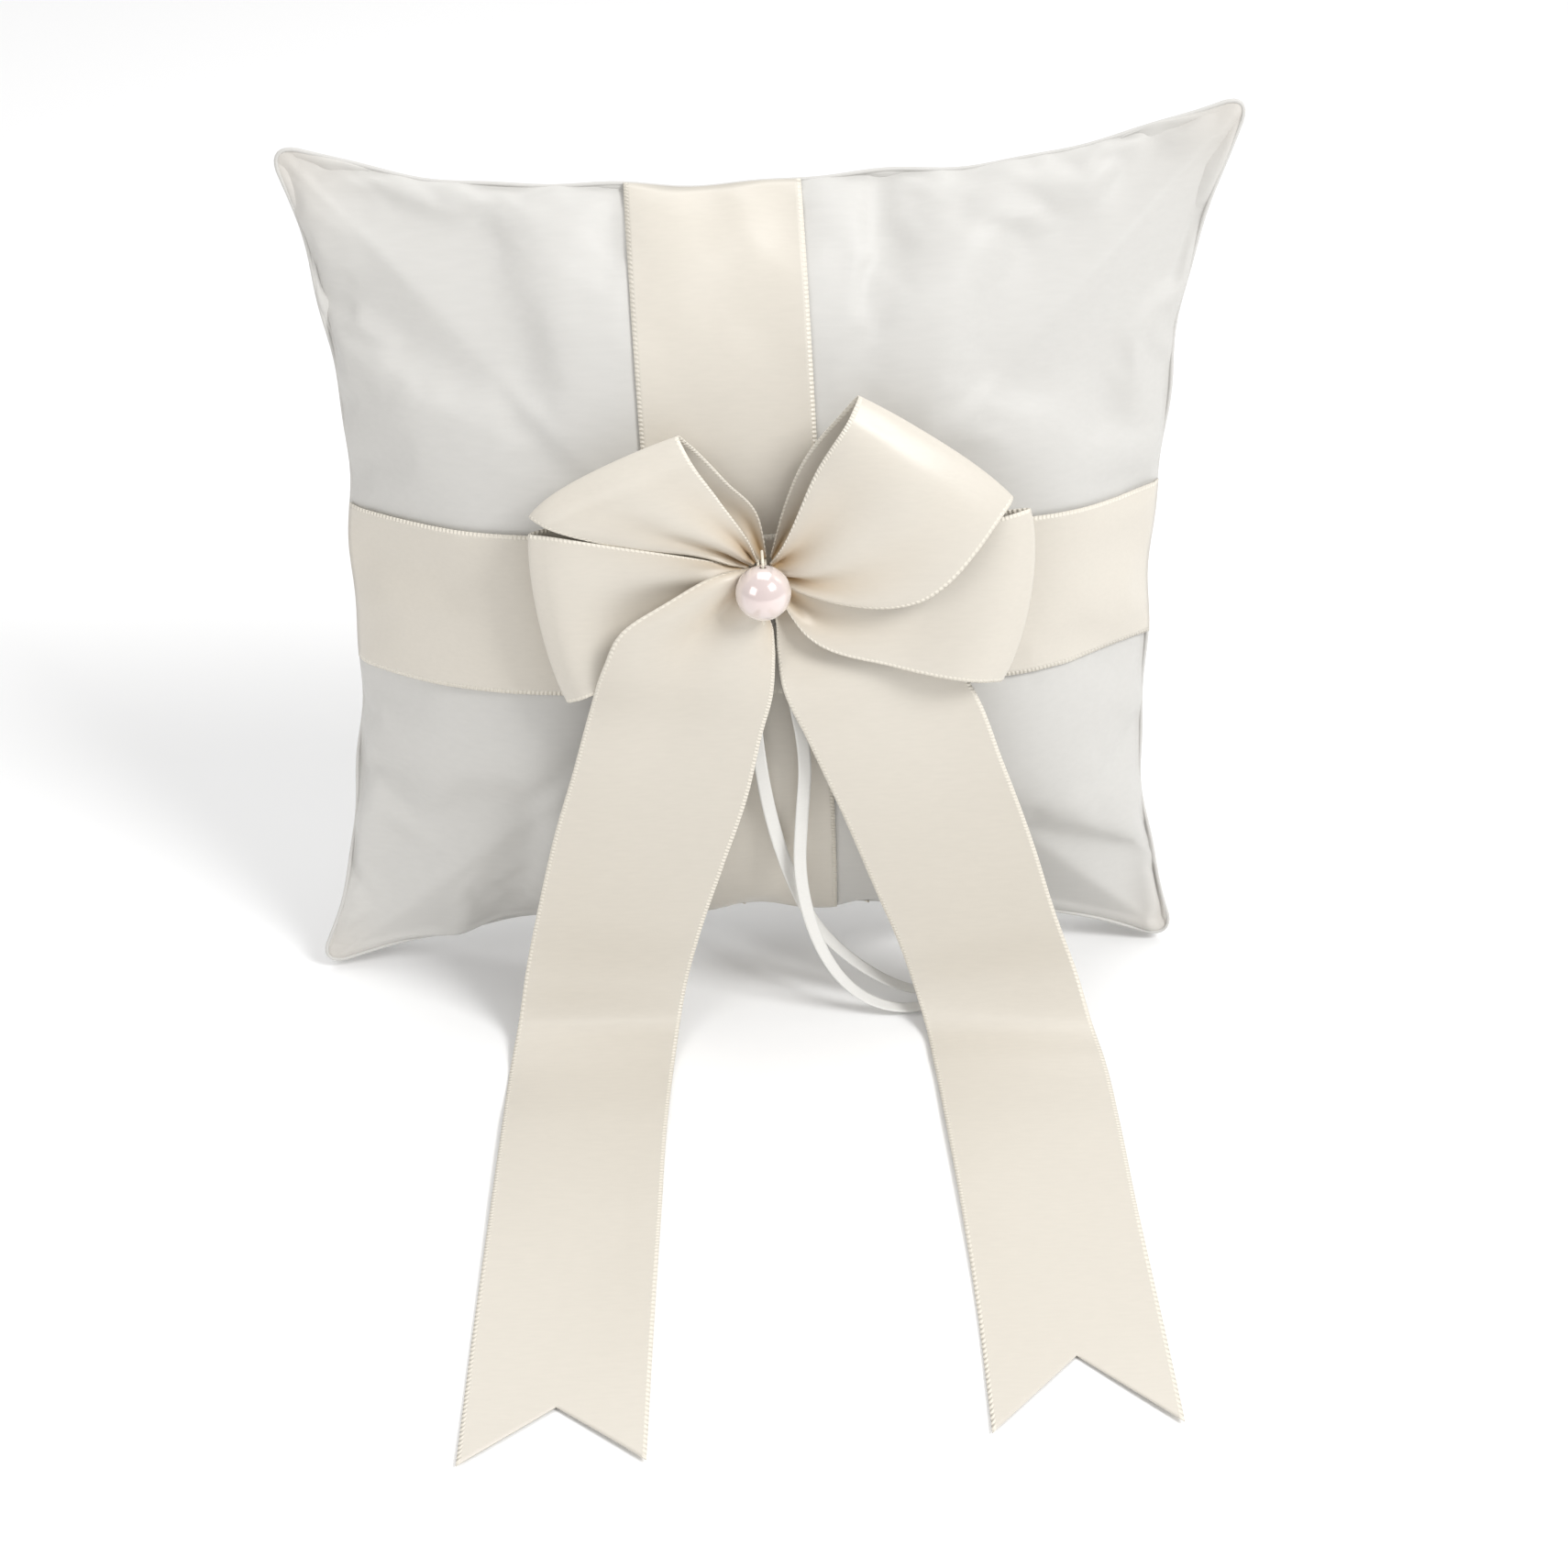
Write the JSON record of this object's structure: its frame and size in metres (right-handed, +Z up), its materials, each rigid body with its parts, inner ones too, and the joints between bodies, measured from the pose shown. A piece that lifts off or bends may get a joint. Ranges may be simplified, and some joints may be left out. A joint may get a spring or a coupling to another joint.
{
  "type": "ring bearer pillow",
  "caption": "Square stuffed satin ring pillow with ribbon bands, a gathered bow under a pearl, long swallow-tail ribbon ends and narrow ribbons for tying rings.",
  "frame": {"origin": "on the table, midway between the two lower ears of the cushion, where they rest", "axes": "+Z up, the front with the bow faces -Y, +X to the right as seen from the front"},
  "size_m": [0.2138, 0.2041, 0.2072],
  "materials": {
    "satin_cover": "smooth ivory satin",
    "polyester_fill": "loose white polyester fibre",
    "sewing_thread": "twisted polyester sewing thread",
    "satin_ribbon": "cream satin ribbon with woven selvedges",
    "narrow_ribbon": "narrow off-white satin ribbon",
    "faux_pearl": "pearlescent lacquer over plastic"
  },
  "bodies": {
    "pillow": {"front_panel": "satin_cover", "back_panel": "satin_cover", "fibre_fill": "polyester_fill", "perimeter_seam_thread": "sewing_thread", "closing_stitches": "sewing_thread", "vertical_band": "satin_ribbon", "horizontal_band": "satin_ribbon", "bow_upper_left_loop": "satin_ribbon", "bow_upper_right_loop": "satin_ribbon", "bow_lower_left_loop": "satin_ribbon", "bow_lower_right_loop": "satin_ribbon", "bow_gather_thread": "sewing_thread", "bow_anchor_stitches": "sewing_thread", "pearl": "faux_pearl", "pearl_thread": "sewing_thread", "ring_ribbon_left": "narrow_ribbon", "ring_ribbon_right": "narrow_ribbon", "ring_ribbon_tack": "sewing_thread"},
    "left_tail": {"left_tail": "satin_ribbon"},
    "right_tail": {"right_tail": "satin_ribbon"}
  },
  "joints": [
    {"name": "left_tail_lift", "type": "hinge", "parent": "pillow", "child": "left_tail", "pos_m": [0.0005, -0.0245, 0.112], "axis": [-1, 0, 0], "range_deg": [0, 30]},
    {"name": "right_tail_lift", "type": "hinge", "parent": "pillow", "child": "right_tail", "pos_m": [0.0086, -0.0245, 0.112], "axis": [-1, 0, 0], "range_deg": [0, 30]}
  ]
}
